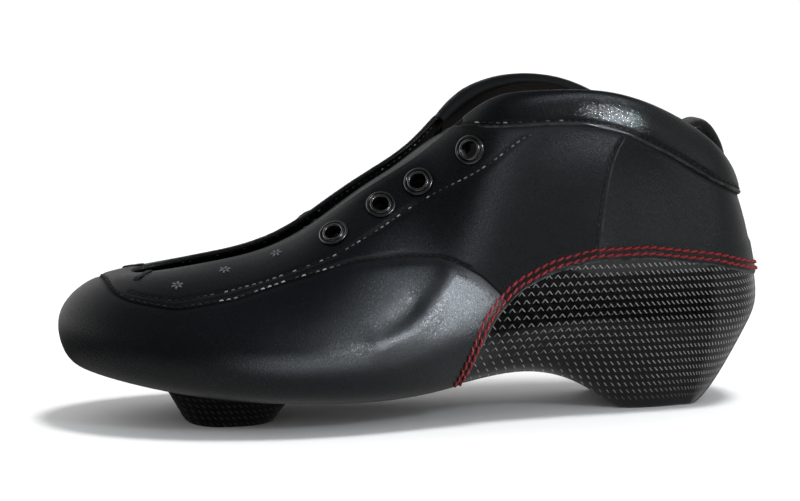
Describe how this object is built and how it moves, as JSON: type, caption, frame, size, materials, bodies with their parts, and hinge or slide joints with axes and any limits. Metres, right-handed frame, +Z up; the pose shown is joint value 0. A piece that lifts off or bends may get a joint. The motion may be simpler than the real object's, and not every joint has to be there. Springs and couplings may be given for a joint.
{
  "type": "speed skating boot",
  "caption": "Low-cut left speed skating boot: leather upper over a moulded carbon shell with front and heel mounting blocks, lace eyelets, tongue and heel pull loop.",
  "frame": {"origin": "middle of the bounding box in plan, on the plane of the two mounting faces", "axes": "+X from toe to heel, +Y to the inner side of the foot, +Z up"},
  "size_m": [0.2682, 0.097, 0.1241],
  "materials": {
    "leather": "black satin leather with a fine grain",
    "carbon": "clear-coated carbon weave with pale tracer threads",
    "lining": "dark lining",
    "metal": "gunmetal plating",
    "webbing": "black woven tape"
  },
  "bodies": {
    "root": {"carbon_shell": "carbon", "upper": "leather", "facing": "leather", "cuff": "leather", "tongue": "lining", "insole": "lining", "pull_loop": "webbing", "eyelet_outer_1": "metal", "eyelet_outer_2": "metal", "eyelet_outer_3": "metal", "eyelet_outer_4": "metal", "eyelet_inner_1": "metal", "eyelet_inner_2": "metal", "eyelet_inner_3": "metal", "eyelet_inner_4": "metal"}
  },
  "joints": []
}
